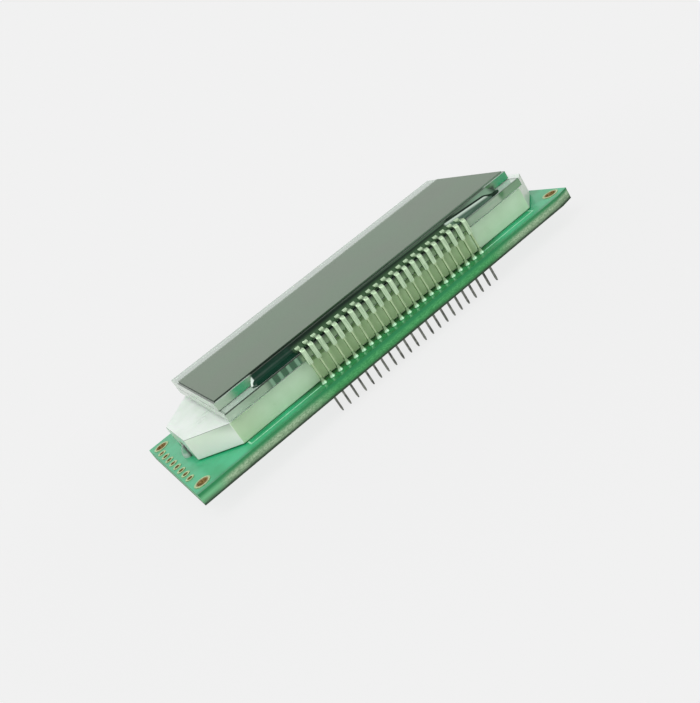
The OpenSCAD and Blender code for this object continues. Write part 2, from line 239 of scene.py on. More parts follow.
# Lights, background and floor in metres; the shadow fades out with distance from the part
KEY_LIGHT = {"place": (-0.22, -0.18, 0.45), "size": 0.4, "power": 1.3}
FILL_LIGHT = {"place": (0.25, -0.5, 0.25), "size": 0.5, "power": 0.5}
AMBIENT_COLOUR = (1.0, 1.0, 1.0, 1.0)
AMBIENT = 0.55
BACKGROUND = (0.88, 0.88, 0.88, 1.0)
FLOOR_COLOUR = (0.82, 0.82, 0.82, 1.0)
FLOOR_SIZE = 4.0
FLOOR_CELLS = 4
SHADOW_SHARE = 0.09
SHADOW_FADE = (0.03, 0.075)


def srgb(red, green, blue):
    """A linear colour from values of 0 to 255 as a screen shows them."""
    def linear(value):
        value = value / 255
        return value / 12.92 if value <= 0.04045 else ((value + 0.055) / 1.055) ** 2.4
    return (linear(red), linear(green), linear(blue), 1.0)


# Shader building blocks

def connect(tree, socket, value):
    """Link a socket to another node, or set its own value."""
    if isinstance(value, bpy.types.NodeSocket):
        tree.links.new(value, socket)
    else:
        socket.default_value = value


def add_node(tree, kind, settings=None, **inputs):
    """Add a node with its settings and its inputs by name."""
    node = tree.nodes.new(kind)
    for key, value in (settings or {}).items():
        setattr(node, key, value)
    for key, value in inputs.items():
        connect(tree, node.inputs[key.replace("_", " ")], value)
    return node


def new_finish(name, **inputs):
    """A new material around one shader, and its node tree."""
    material = bpy.data.materials.new(name)
    material.use_nodes = True
    tree = material.node_tree
    tree.nodes.clear()
    shader = add_node(tree, "ShaderNodeBsdfPrincipled", **inputs)
    output = add_node(tree, "ShaderNodeOutputMaterial")
    tree.links.new(shader.outputs["BSDF"], output.inputs["Surface"])
    return material, tree, shader


def surface(tree, shader, colour, roughness):
    """Give a shader the colour and roughness that vary over it."""
    connect(tree, shader.inputs["Base Color"], colour)
    connect(tree, shader.inputs["Roughness"], roughness)


def relief(tree, shader, height, depth, strength):
    """Fine relief of a depth in millimetres."""
    bump = add_node(tree, "ShaderNodeBump", Height=height, Distance=depth * MM, Strength=strength)
    connect(tree, shader.inputs["Normal"], bump.outputs["Normal"])


def vector_step(tree, operation, first, second):
    """The node for one step of arithmetic on two vectors."""
    node = add_node(tree, "ShaderNodeVectorMath", {"operation": operation})
    connect(tree, node.inputs[0], first)
    connect(tree, node.inputs[1], second)
    return node


def millimetres(tree, stretch=(1.0, 1.0, 1.0)):
    """The place on the part in millimetres, squeezed so that patterns stretch."""
    place = add_node(tree, "ShaderNodeTexCoord").outputs["Object"]
    per_axis = Vector([1 / (MM * s) for s in stretch])
    return vector_step(tree, "MULTIPLY", place, per_axis).outputs["Vector"]


def axes(tree, vector):
    """The three numbers of a vector, named X, Y and Z."""
    return add_node(tree, "ShaderNodeSeparateXYZ", Vector=vector).outputs


def place_on(tree):
    """How far a point lies along the pin row, across it and up, in millimetres."""
    place = axes(tree, millimetres(tree))
    return place["X"], place["Y"], place["Z"]


def facing(tree):
    """The surface's own direction, as three numbers."""
    return axes(tree, add_node(tree, "ShaderNodeNewGeometry").outputs["Normal"])


def noise(tree, place, size, detail=3.0):
    """Soft noise from 0 to 1 with features of a size in millimetres."""
    return add_node(tree, "ShaderNodeTexNoise", Vector=place, Scale=1 / size, Detail=detail).outputs["Fac"]


def step(tree, operation, first, second=0.0):
    """One step of arithmetic on two numbers."""
    node = add_node(tree, "ShaderNodeMath", {"operation": operation})
    connect(tree, node.inputs[0], first)
    connect(tree, node.inputs[1], second)
    return node.outputs["Value"]


def ramp(tree, value, low, high, start=0.0, end=1.0):
    """A number that runs from start to end while value runs from low to high."""
    node = add_node(tree, "ShaderNodeMapRange", {"interpolation_type": "SMOOTHSTEP"}, Value=value,
                    From_Min=low, From_Max=high, To_Min=start, To_Max=end)
    return node.outputs["Result"]


def fall(tree, value, low, high):
    """1 while value is under low, and 0 once it is over high."""
    return ramp(tree, value, low, high, 1.0, 0.0)


def all_of(tree, share, *others):
    """The product of several shares, so that it is high only where each of them is."""
    for other in others:
        share = step(tree, "MULTIPLY", share, other)
    return share


def band(tree, value, low, high, soft):
    """1 while value lies between low and high, with soft ends."""
    past_low = ramp(tree, value, low - soft, low + soft)
    under_high = fall(tree, value, high - soft, high + soft)
    return all_of(tree, past_low, under_high)


def blend(tree, share, first, second):
    """A colour between two others."""
    node = add_node(tree, "ShaderNodeMix", {"data_type": "RGBA"})
    factor, colour_a, colour_b = node.inputs[0], node.inputs[6], node.inputs[7]
    connect(tree, factor, share)
    connect(tree, colour_a, first)
    connect(tree, colour_b, second)
    return node.outputs[2]


def mottled(tree, pattern, first, second, low=0.3, high=0.7):
    """A colour that wanders between two others with a pattern of noise."""
    return blend(tree, ramp(tree, pattern, low, high), first, second)


def flat_face(tree, low, high):
    """1 on faces that look up or down, and 0 on upright ones."""
    return ramp(tree, step(tree, "ABSOLUTE", facing(tree)["Z"]), low, high)


def pin_side(tree, across):
    """1 on the half of the part that has the pins, and 0 on the back half."""
    return fall(tree, across, *PIN_SIDE_END)


def level_distance(tree, place, middle):
    """Distance in millimetres from an upright line through a middle."""
    level = vector_step(tree, "MULTIPLY", place, Vector((1.0, 1.0, 0.0)))
    return vector_step(tree, "DISTANCE", level.outputs["Vector"], Vector((*middle, 0.0))).outputs["Value"]


# Circuit board

def laminate_colour(tree, grain, tint):
    """Board edge: flecked laminate, green by the left end, with painted shade low down, on the lower rim and
    along the top.
    """
    along, _, height = place_on(tree)
    fleck = ramp(tree, grain, 0.3, 0.7)
    dry = blend(tree, fleck, srgb(122, 156, 120), srgb(174, 204, 166))
    dry = blend(tree, fall(tree, along, *EDGE_GREEN_END), dry, srgb(114, 190, 136))
    tinted = blend(tree, fleck, srgb(48, 142, 76), srgb(84, 176, 106))
    laminate = blend(tree, tint, dry, tinted)
    patch = noise(tree, millimetres(tree, (4.0, 4.0, 0.5)), size=0.8)
    # Patchy painted shade on the lower part of the edge
    low = all_of(tree, fall(tree, height, *EDGE_LOWER_SHADE), ramp(tree, patch, 0.35, 0.65, 0.55, 1.0))
    dark = blend(tree, tint, srgb(66, 98, 66), srgb(36, 94, 48))
    laminate = blend(tree, low, laminate, dark)
    # Painted shade on the lower rim
    laminate = blend(tree, ramp(tree, height, *EDGE_BOTTOM_SHADE, 0.9, 0.0), laminate, srgb(26, 50, 28))
    broken_corner = band(tree, facing(tree)["X"], 0.35, 0.9, soft=0.08)
    laminate = blend(tree, broken_corner, laminate, srgb(66, 98, 74))
    # Painted shade in dark green along the top of the edge
    return blend(tree, ramp(tree, height, *EDGE_TOP_SHADE, 0.0, 0.95), laminate, srgb(20, 120, 68))


def mask_colour(tree, by_pins):
    """Green mask: deep over the copper by the pins, painted light in the slot under the guide, painted shade
    at its foot, and a painted shadow along the front rim.
    """
    along, across, _ = place_on(tree)
    cloud = noise(tree, millimetres(tree), size=4.0, detail=2.0)
    weave = noise(tree, millimetres(tree, (1.0, 0.25, 1.0)), size=0.5)
    green = mottled(tree, cloud, srgb(34, 164, 108), srgb(52, 186, 132))
    copper = all_of(tree, by_pins, fall(tree, across, *COPPER_BACK))
    green = blend(tree, copper, green, srgb(10, 128, 58))
    green = blend(tree, ramp(tree, weave, 0.35, 0.75, 0.0, 0.2), green, srgb(84, 196, 146))
    # Painted light in the slot under the guide
    slot = all_of(tree, band(tree, along, *GUIDE_MIDDLE, soft=0.3),
                  band(tree, across, *GUIDE_SLOT_GLOW, soft=0.1))
    green = blend(tree, slot, green, srgb(100, 214, 154))
    # Painted shade at the guide's foot by the pins
    foot = all_of(tree, by_pins, band(tree, across, *GUIDE_FOOT_SHADE, soft=0.3))
    green = blend(tree, foot, green, srgb(56, 116, 62))
    # Painted shadow along the front rim of the board
    return blend(tree, ramp(tree, across, *MASK_FRONT_SHADOW, 0.7, 0.0), green, srgb(22, 118, 68))


def board_finish():
    """Green mask on both faces, and a rough edge where the board was broken out."""
    material, tree, shader = new_finish("solder_mask", Specular_IOR_Level=0.4, Coat_Weight=0.1,
                                        Coat_Roughness=0.1)
    along, across, _ = place_on(tree)
    face = flat_face(tree, 0.75, 0.95)
    grain = noise(tree, millimetres(tree, (1.5, 1.5, 0.7)), size=0.18, detail=4.0)
    by_pins = band(tree, along, *COPPER_STRETCH, soft=3.0)
    laminate = laminate_colour(tree, grain, all_of(tree, by_pins, pin_side(tree, across)))
    colour = blend(tree, face, laminate, mask_colour(tree, by_pins))
    surface(tree, shader, colour, ramp(tree, face, 0.0, 1.0, 0.8, 0.3))
    relief(tree, shader, grain, depth=0.02, strength=0.4)
    return material


def print_finish():
    """Pale ink of the printed outline, a little patchy."""
    material, tree, shader = new_finish("printed_ink", Specular_IOR_Level=0.4)
    patch = noise(tree, millimetres(tree), size=0.3)
    ink = mottled(tree, patch, srgb(130, 210, 168), srgb(186, 236, 206))
    surface(tree, shader, ink, ramp(tree, patch, 0.2, 0.8, 0.4, 0.6))
    return material


# Plated holes

def corner_distance(tree):
    """Distance in millimetres from the middle of the nearest corner hole, seen from above."""
    folded = add_node(tree, "ShaderNodeVectorMath", {"operation": "ABSOLUTE"}, Vector=millimetres(tree))
    return level_distance(tree, folded.outputs["Vector"], CORNER_HOLE)


def copper_finish():
    """Pale tinned rings with brown copper down the bore, and around it on the corner holes."""
    material, tree, shader = new_finish("plated_copper", Metallic=0.3)
    spot = noise(tree, millimetres(tree), size=0.25)
    bore = mottled(tree, spot, srgb(150, 122, 70), srgb(204, 176, 120))
    ring = mottled(tree, spot, srgb(156, 188, 128), srgb(188, 214, 166))
    worn = mottled(tree, spot, srgb(124, 104, 58), srgb(160, 134, 84), 0.35, 0.65)
    ring = blend(tree, fall(tree, corner_distance(tree), *CORNER_WORN), ring, worn)
    colour = blend(tree, flat_face(tree, 0.6, 0.9), bore, ring)
    surface(tree, shader, colour, ramp(tree, spot, 0.2, 0.8, 0.3, 0.5))
    relief(tree, shader, spot, depth=0.02, strength=0.4)
    return material


# Lamps

def chip_finish():
    """Pale yellow lamp chip."""
    material, tree, shader = new_finish("lamp_chip", Roughness=0.5)
    grain = noise(tree, millimetres(tree), size=0.08)
    yellow = blend(tree, grain, srgb(196, 180, 96), srgb(240, 232, 168))
    connect(tree, shader.inputs["Base Color"], yellow)
    return material


def dome_finish():
    """Clear resin with a faint swirl: painted board green as seen through it, a pale painted highlight round
    its steep foot, and painted shade under the guide.
    """
    material, tree, shader = new_finish("clear_resin", Transmission_Weight=0.35, IOR=1.5, Coat_Weight=0.5,
                                        Coat_Roughness=0.03)
    along, _, _ = place_on(tree)
    swirl = noise(tree, millimetres(tree), size=1.2, detail=2.0)
    # Pale painted highlight round the steep foot, patchy with the swirl; elsewhere painted board green as
    # seen through the resin
    foot = all_of(tree, fall(tree, facing(tree)["Z"], 0.2, 0.5), ramp(tree, swirl, 0.35, 0.6, 0.35, 0.9))
    clear = blend(tree, foot, srgb(112, 194, 150), srgb(232, 246, 238))
    # Painted shade under the end of the light guide, by distance from its middle
    from_middle = step(tree, "ABSOLUTE", step(tree, "SUBTRACT", along, sum(GUIDE_ENDS) / 2))
    colour = blend(tree, fall(tree, from_middle, *DOME_SHADE), clear, srgb(34, 66, 46))
    surface(tree, shader, colour, ramp(tree, swirl, 0.3, 0.7, 0.0, 0.06))
    relief(tree, shader, swirl, depth=0.03, strength=0.3)
    return material


# Light guide

def guide_sides(tree, haze, drag):
    """Long sides: greenish with paler drag marks, yellower to the left, with painted shade behind the pins,
    darker under the clips.
    """
    along, across, height = place_on(tree)
    side = mottled(tree, haze, srgb(198, 226, 194), srgb(209, 235, 206))
    side = blend(tree, ramp(tree, drag, 0.5, 0.8, 0.0, 0.15), side, srgb(226, 242, 226))
    side = blend(tree, ramp(tree, along, *GUIDE_LEFT, 0.7, 0.0), side, srgb(194, 216, 178))
    # Painted shade behind the pins, and a darker painted shadow under the clips
    pin_shade = all_of(tree, fall(tree, across, *GUIDE_FACE), band(tree, along, *BEHIND_PINS, soft=0.3))
    side = blend(tree, pin_shade, side, srgb(184, 214, 165))
    dark = all_of(tree, pin_shade, ramp(tree, height, *CLIP_SHADOW_RISE))
    return blend(tree, dark, side, srgb(132, 166, 114))


def guide_slants(tree, direction):
    """Slanted ends: nearly white, with painted light towards the bottom, a little greener towards the top,
    and painted shade on the right end.
    """
    _, _, height = place_on(tree)
    # Painted light towards the bottom of the slanted ends
    slant = blend(tree, ramp(tree, height, *SLANT_LIGHT_FADE), srgb(248, 248, 242), srgb(226, 238, 222))
    # Painted shade on the slanted end that faces right
    return blend(tree, ramp(tree, direction["X"], 0.2, 0.5, 0.0, 0.9), slant, srgb(200, 210, 196))


def guide_tips(tree):
    """Small end faces over the lamps: painted shade in board green at the bottom, paler towards the top."""
    _, _, height = place_on(tree)
    # Painted shade in board green at the bottom, fading upwards
    return blend(tree, ramp(tree, height, *TIP_SHADE_RISE), srgb(84, 142, 108), srgb(186, 220, 198))


def guide_finish():
    """Milky acrylic, paler on its upward faces, with grey broken edges on its slanted ends."""
    material, tree, shader = new_finish("milky_acrylic", Subsurface_Weight=0.3, Subsurface_Scale=0.8 * MM,
                                        Subsurface_Radius=Vector((0.8, 1.0, 0.8)), Specular_IOR_Level=0.25,
                                        Coat_Weight=0.05, Coat_Roughness=0.1, IOR=1.49)
    haze = noise(tree, millimetres(tree), size=3.0, detail=2.0)
    drag = noise(tree, millimetres(tree, (6.0, 6.0, 0.3)), size=0.6, detail=4.0)
    direction = facing(tree)
    endwards = step(tree, "ABSOLUTE", direction["X"])
    slanted = ramp(tree, endwards, 0.2, 0.5)
    colour = blend(tree, slanted, guide_sides(tree, haze, drag), guide_slants(tree, direction))
    colour = blend(tree, ramp(tree, endwards, 0.85, 0.95), colour, guide_tips(tree))
    # Paler colour on the faces that look up
    top_tone = mottled(tree, haze, srgb(228, 240, 230), srgb(240, 248, 242))
    colour = blend(tree, ramp(tree, direction["Z"], 0.4, 0.9), colour, top_tone)
    arris = all_of(tree, band(tree, direction["Z"], 0.15, 0.85, soft=0.1), slanted)
    colour = blend(tree, arris, colour, srgb(150, 164, 150))
    surface(tree, shader, colour, ramp(tree, haze, 0.2, 0.8, 0.26, 0.36))
    marks = all_of(tree, drag, fall(tree, direction["Z"], 0.1, 0.4))
    relief(tree, shader, marks, depth=0.01, strength=0.3)
    return material


# Films

def film_finish(name, dark, light, roughness):
    """A plain sheet with fine grain."""
    material, tree, shader = new_finish(name, Roughness=roughness)
    grain = noise(tree, millimetres(tree), size=0.4, detail=4.0)
    connect(tree, shader.inputs["Base Color"], blend(tree, grain, dark, light))
    relief(tree, shader, grain, depth=0.01, strength=0.3)
    return material


def film_edge(tree):
    """Cut edge: pale green on the rear film, and dark on the front one, lighter to the right."""
    along, _, height = place_on(tree)
    left, middle, right = FILM_EDGE_TONES
    front = blend(tree, ramp(tree, along, left, middle), srgb(22, 42, 28), srgb(46, 76, 48))
    front = blend(tree, ramp(tree, along, middle, right), front, srgb(104, 128, 108))
    return blend(tree, ramp(tree, height, *FILM_RISE), srgb(120, 150, 120), front)


def polarizer_finish():
    """Grey satin film with faint smudges, paler along its back edge."""
    material, tree, shader = new_finish("grey_film", Specular_IOR_Level=0.35)
    _, across, _ = place_on(tree)
    cloud = noise(tree, millimetres(tree), size=9.0, detail=2.0)
    grain = noise(tree, millimetres(tree), size=0.15, detail=2.0)
    grey = mottled(tree, cloud, srgb(93, 118, 93), srgb(103, 119, 101))
    grey = blend(tree, ramp(tree, grain, 0.3, 0.7, 0.0, 0.15), grey, srgb(124, 138, 122))
    grey = blend(tree, ramp(tree, across, *FILM_PALE_BACK, 0.0, 0.45), grey, srgb(178, 192, 178))
    colour = blend(tree, flat_face(tree, 0.5, 0.9), film_edge(tree), grey)
    surface(tree, shader, colour, ramp(tree, cloud, 0.3, 0.7, 0.34, 0.38))
    relief(tree, shader, grain, depth=0.004, strength=0.3)
    return material


# Glass

def ground_edge(tree, cloud):
    """Ground edges: pale green, and duskier along the pin side, with a dark spot near the right end."""
    along, across, height = place_on(tree)
    pale = mottled(tree, cloud, srgb(204, 236, 206), srgb(226, 246, 222))
    dusk = step(tree, "ADD", ramp(tree, along, *DUSK_RIGHT, 0.45, 0.3),
                ramp(tree, along, *DARK_SPOT_LEFT, 0.0, 0.4))
    spot = all_of(tree, band(tree, along, DARK_SPOT, DARK_SPOT, soft=DARK_SPOT_REACH),
                  ramp(tree, height, *DARK_SPOT_RISE, 0.3, 1.6))
    dusk = step(tree, "ADD", dusk, spot)
    dusk = all_of(tree, dusk, ramp(tree, along, *DUSK_LEFT), pin_side(tree, across))
    return blend(tree, dusk, pale, srgb(84, 154, 94))


def green_casts(tree, cloud):
    """Where a deep green shines through the edges on the pin side, near both ends of the cell."""
    along, across, _ = place_on(tree)
    casts = [band(tree, along, x - GREEN_CAST_HALF, x + GREEN_CAST_HALF, soft=0.7) for x in GREEN_CASTS]
    cloudy = ramp(tree, cloud, 0.3, 0.6, 0.75, 1.0)
    return all_of(tree, step(tree, "ADD", *casts), cloudy, pin_side(tree, across))


def clip_shade(tree):
    """Edge of the rear plate at the clips: painted shade, darker towards the ledge, with pale bars left of
    the row painted as reflections of the pins.
    """
    along, _, height = place_on(tree)
    behind = blend(tree, ramp(tree, height, *CLIP_SHADE), srgb(142, 180, 130), srgb(88, 126, 80))
    # Pale bars at the pin pitch, painted reflections of the pins
    turn = step(tree, "MULTIPLY", step(tree, "SUBTRACT", along, PIN_ROW[0]), 2 * math.pi / PIN_PITCH)
    bars = ramp(tree, step(tree, "SINE", turn), 0.0, 0.9)
    barred = blend(tree, bars, srgb(48, 114, 74), srgb(140, 194, 156))
    return blend(tree, fall(tree, along, *PIN_REFLECTIONS_END), behind, barred)


def edge_colour(tree, cloud, ledge_edge, front_plate):
    """Edges of both plates: ground, with green casts, shaded by the clips and by the resin's right end."""
    along, across, height = place_on(tree)
    edge = ground_edge(tree, cloud)
    edge = blend(tree, all_of(tree, green_casts(tree, cloud), front_plate), edge, srgb(52, 196, 132))
    clipped = all_of(tree, ledge_edge, band(tree, along, *CLIPPED, soft=0.7))
    edge = blend(tree, clipped, edge, clip_shade(tree))
    resin_end = all_of(tree, band(tree, along, *RESIN_END_PATCH, soft=0.3),
                       ramp(tree, height, *RESIN_END_RISE, 0.95, 0.1), pin_side(tree, across), front_plate)
    return blend(tree, resin_end, edge, srgb(16, 64, 36))


def face_colour(tree):
    """Faces of both plates: pale, and dark on the ledge between the pins."""
    along, across, height = place_on(tree)
    ledge = all_of(tree, band(tree, along, *PIN_ROW, soft=0.2), fall(tree, across, *LEDGE_BACK),
                   ramp(tree, height, *LEDGE_RISE))
    return blend(tree, ledge, srgb(222, 238, 226), srgb(6, 30, 10))


def glass_colour(tree, cloud):
    """Edges and faces, dark on the ledge's front corner, grey beside the film, dark where resin wets it."""
    along, across, height = place_on(tree)
    flat = flat_face(tree, 0.5, 0.9)
    ledge_edge = fall(tree, across, *LEDGE_EDGE)
    front_plate = ramp(tree, height, *PLATE_RISE)
    colour = blend(tree, flat, edge_colour(tree, cloud, ledge_edge, front_plate), face_colour(tree))
    arris = all_of(tree, ledge_edge, band(tree, height, *LEDGE_ARRIS, soft=0.04),
                   ramp(tree, along, *LEDGE_ARRIS_END, 1.0, 0.4))
    colour = blend(tree, arris, colour, srgb(18, 48, 22))
    past_film = step(tree, "SUBTRACT", 1.0, band(tree, along, *FILM_ENDS, soft=0.02))
    strips = all_of(tree, flat, front_plate, past_film, fall(tree, across, *STRIPS_BACK))
    colour = blend(tree, strips, colour, srgb(94, 116, 96))
    wetted = all_of(tree, band(tree, along, *WETTED, soft=0.3), fall(tree, across, *WETTED_BACK),
                    front_plate)
    wet = blend(tree, ramp(tree, along, *WETTED_TONES), srgb(4, 44, 18), srgb(84, 108, 88))
    return blend(tree, wetted, colour, wet)


def glass_finish():
    """Float glass, smooth and partly clear."""
    material, tree, shader = new_finish("float_glass", Transmission_Weight=0.4, IOR=1.52, Coat_Weight=0.2,
                                        Coat_Roughness=0.03)
    cloud = noise(tree, millimetres(tree, (3.0, 1.0, 1.0)), size=1.0, detail=2.0)
    surface(tree, shader, glass_colour(tree, cloud), ramp(tree, cloud, 0.3, 0.7, 0.06, 0.12))
    relief(tree, shader, cloud, depth=0.004, strength=0.2)
    return material


# Resin

def plug_finish():
    """Amber resin dab that closes the filling port."""
    material, tree, shader = new_finish("amber_resin", Roughness=0.15, Subsurface_Weight=0.3,
                                        Subsurface_Scale=0.4 * MM)
    swirl = noise(tree, millimetres(tree), size=0.7)
    amber = blend(tree, swirl, srgb(176, 160, 96), srgb(214, 204, 150))
    connect(tree, shader.inputs["Base Color"], amber)
    relief(tree, shader, swirl, depth=0.05, strength=0.4)
    return material


def resin_glint_rim(tree):
    """Painted highlight: a thin pale crescent around the back half of the resin's round left end."""
    along, across, _ = place_on(tree)
    rim = ramp(tree, level_distance(tree, millimetres(tree), ROUND_MIDDLE), *GLINT_RIM_START)
    return all_of(tree, rim, fall(tree, along, *GLINT_RIM_RIGHT), ramp(tree, across, *GLINT_RIM_FRONT))


def resin_level(tree):
    """Height over the ledge in millimetres, along levels that rise towards the front."""
    _, across, height = place_on(tree)
    lean = step(tree, "MULTIPLY", step(tree, "SUBTRACT", across, CELL_FRONT), LEVEL_LEAN)
    return step(tree, "ADD", step(tree, "SUBTRACT", height, LEDGE_TOP), lean)


def sheened_resin(tree, dark):
    """Resin along the pin row: a greyer painted sheen on its upper part, lighter to the right."""
    along, _, _ = place_on(tree)
    # Painted sheen above the levels, greyer and lighter to the right
    over_line = step(tree, "SUBTRACT", resin_level(tree), ramp(tree, along, *PIN_ROW, *SHEEN_LEVELS))
    sheen = all_of(tree, ramp(tree, over_line, 0.0, SHEEN_SOFTNESS),
                  band(tree, along, *SHEEN_STRETCH, soft=0.5))
    grey = blend(tree, ramp(tree, along, *PIN_ROW), srgb(34, 58, 36), srgb(80, 106, 84))
    return blend(tree, sheen, dark, grey)


def highlighted_resin(tree, dark):
    """Resin past the last pin: a dark line sinks to the right, clear above it, a painted highlight and thin
    resin below.
    """
    along, _, _ = place_on(tree)
    run = step(tree, "SUBTRACT", along, PIN_ROW[1])
    level = step(tree, "ADD", resin_level(tree), step(tree, "MULTIPLY", run, LEVEL_SLOPE))
    bent = step(tree, "ADD", level, ramp(tree, run, *LINE_BEND, 0.0, LINE_BEND_DROP))
    past_pins = band(tree, run, *PAST_PINS_RUN, soft=0.2)
    thin = all_of(tree, past_pins, ramp(tree, level, *THIN_END, 0.5, 0.0))
    colour = blend(tree, thin, dark, srgb(104, 138, 118))
    # Pale painted highlight on the resin past the last pin
    highlight = all_of(tree, past_pins, ramp(tree, level, *HIGHLIGHT_START), fall(tree, bent, *HIGHLIGHT_END))
    colour = blend(tree, highlight, colour, srgb(196, 214, 200))
    clear = all_of(tree, ramp(tree, run, *CLEAR_START), ramp(tree, bent, *DARK_LINE_END),
                   ramp(tree, run, *CLEAR_END, 1.0, 0.3))
    glassy = blend(tree, ramp(tree, run, *CLEAR_TONES), srgb(88, 110, 92), srgb(124, 156, 132))
    return blend(tree, clear, colour, glassy)


def sealant_finish():
    """Near-black green resin, wet and wavy, greener left of the pins, with a painted highlight rim at its
    left end.
    """
    material, tree, shader = new_finish("dark_resin", Specular_IOR_Level=0.12)
    along, across, height = place_on(tree)
    wave = noise(tree, millimetres(tree, (2.0, 1.0, 1.0)), size=1.2, detail=2.0)
    dark = blend(tree, wave, srgb(2, 18, 9), srgb(10, 42, 26))
    patch = blend(tree, wave, srgb(8, 42, 28), srgb(22, 64, 48))
    dark = blend(tree, fall(tree, along, *PATCH_END), dark, patch)
    glints = all_of(tree, band(tree, along, *GLINTS, soft=0.2), ramp(tree, height, *GLINT_RISE, 0.95, 0.0),
                    ramp(tree, across, *GLINT_FRONT))
    dark = blend(tree, glints, dark, srgb(66, 96, 66))
    colour = highlighted_resin(tree, sheened_resin(tree, dark))
    # Painted highlight rim at the round left end
    colour = blend(tree, resin_glint_rim(tree), colour, srgb(226, 240, 230))
    surface(tree, shader, colour, ramp(tree, wave, 0.3, 0.7, 0.05, 0.14))
    relief(tree, shader, wave, depth=0.08, strength=0.5)
    return material


# Pins and solder

def pin_finish():
    """Tinned strip, brushed along its length, duller down the lead, with blotchy painted shade below the
    board.
    """
    material, tree, shader = new_finish("tinned_strip", Metallic=0.9)
    _, _, height = place_on(tree)
    brush = noise(tree, millimetres(tree, (0.15, 0.15, 3.0)), size=0.4)
    blotch = noise(tree, millimetres(tree), size=0.6)
    clip = mottled(tree, brush, srgb(158, 188, 152), srgb(202, 226, 192))
    lead = mottled(tree, brush, srgb(148, 176, 134), srgb(182, 204, 162))
    # Blotchy painted shade on the pins below the board
    under_board_shade = mottled(tree, blotch, srgb(74, 76, 72), srgb(134, 136, 128))
    colour = blend(tree, ramp(tree, height, *LEAD_TOP), lead, clip)
    colour = blend(tree, ramp(tree, height, *BOARD_SHADE_TOP), under_board_shade, colour)
    surface(tree, shader, colour, ramp(tree, brush, 0.2, 0.8, 0.22, 0.42))
    relief(tree, shader, brush, depth=0.01, strength=0.4)
    return material


def solder_finish():
    """Bright solder with a grainy skin, duller up the lead, and a painted green reflection of the board
    where it thins out on the board.
    """
    material, tree, shader = new_finish("bright_solder", Metallic=0.8)
    _, _, height = place_on(tree)
    grain = noise(tree, millimetres(tree), size=0.2, detail=4.0)
    skin = blend(tree, grain, srgb(152, 216, 164), srgb(206, 240, 212))
    skin = blend(tree, ramp(tree, height, *SOLDER_NECK), skin, srgb(136, 164, 126))
    # Painted reflection of the green board at the solder's foot
    skin = blend(tree, ramp(tree, height, *SOLDER_BOARD_REFLECTION, 0.9, 0.0), skin, srgb(30, 110, 58))
    surface(tree, shader, skin, ramp(tree, grain, 0.3, 0.7, 0.1, 0.3))
    relief(tree, shader, grain, depth=0.03, strength=0.4)
    return material


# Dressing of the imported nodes

def soften(piece, width):
    """Break the sharp edges, so that they catch the light."""
    weld = piece.modifiers.new("weld", "WELD")
    weld.merge_threshold = SAME_POINT
    flats = piece.modifiers.new("flats", "DECIMATE")
    flats.decimate_type = "DISSOLVE"
    flats.angle_limit = FLAT_ANGLE
    bevel = piece.modifiers.new("edges", "BEVEL")
    bevel.width = width
    bevel.segments = EDGE_STEPS
    bevel.limit_method = "ANGLE"
    bevel.angle_limit = SHARP_ANGLE
    bevel.harden_normals = True


def dress(piece, slot, material):
    """Give a node its finish, and broken edges where the finish has them."""
    if not piece.material_slots:
        piece.data.materials.append(material)
    for own in piece.material_slots:
        own.material = material
    if slot in EDGE_WIDTHS:
        soften(piece, EDGE_WIDTHS[slot])


def dress_all():
    """Dress every node of the record by its material slot."""
    finishes = {
        "board": board_finish(),
        "copper": copper_finish(),
        "lamp_chip": chip_finish(),
        "lamp_dome": dome_finish(),
        "reflector": film_finish("white_film", srgb(226, 230, 226), srgb(242, 244, 242), 0.5),
        "light_guide": guide_finish(),
        "diffuser": film_finish("frosted_film", srgb(214, 224, 214), srgb(236, 242, 236), 0.6),
        "polarizer": polarizer_finish(),
        "glass": glass_finish(),
        "seal": film_finish("seal_resin", srgb(96, 112, 100), srgb(132, 148, 134), 0.5),
        "liquid_crystal": film_finish("cell_filling", srgb(150, 168, 152), srgb(176, 192, 176), 0.3),
        "plug": plug_finish(),
        "sealant": sealant_finish(),
        "pin": pin_finish(),
        "solder": solder_finish(),
    }
    for part in frame["record"]["subparts"]:
        slot = part["material_slot"]
        dress(frame["nodes"][part["node"]], slot, finishes[slot])


# New objects

def new_object(name, mesh, material):
    """An object in the scene from a finished mesh."""
    data = bpy.data.meshes.new(name)
    mesh.to_mesh(data)
    mesh.free()
    data.materials.append(material)
    made = bpy.data.objects.new(name, data)
    bpy.context.collection.objects.link(made)
    return made


def outline_path(grow):
    """Corners of the line, from the left end of the pin row round the display to the right end."""
    low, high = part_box("rear_glass")
    left = low[X] + PRINT_INSET - grow
    right = high[X] - PRINT_INSET + grow
    front = low[Y] - grow
    back = high[Y] + grow
    gap_left = PIN_ROW[0] * MM - PRINT_GAP
    gap_right = PIN_ROW[1] * MM + PRINT_GAP
    around_left = [(gap_left, front), (left, front), (left, back)]
    around_right = [(right, back), (right, front), (gap_right, front)]
    return around_left + around_right


def printed_outline():
    """A thin line of ink on the board around the footprint of the display, open along the pins."""
    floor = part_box("reflector_sheet")[0][Z]
    mesh = bmesh.new()
    lines = []
    for grow in (0.0, PRINT_WIDTH):
        for height in (floor, floor + PRINT_HEIGHT):
            lines.append([mesh.verts.new((x, y, height)) for x, y in outline_path(grow)])
    inner_low, inner_top, outer_low, outer_top = lines
    around = [inner_low, inner_top, outer_top, outer_low]
    for line_a, line_b in zip(around, around[1:] + around[:1]):
        for i in range(len(line_a) - 1):
            mesh.faces.new((line_a[i], line_b[i], line_b[i + 1], line_a[i + 1]))
    for end in (0, -1):
        mesh.faces.new([line[end] for line in around])
    bmesh.ops.recalc_face_normals(mesh, faces=mesh.faces)
    piece = new_object("printed_outline", mesh, print_finish())
    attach(piece, "root")


# Stage

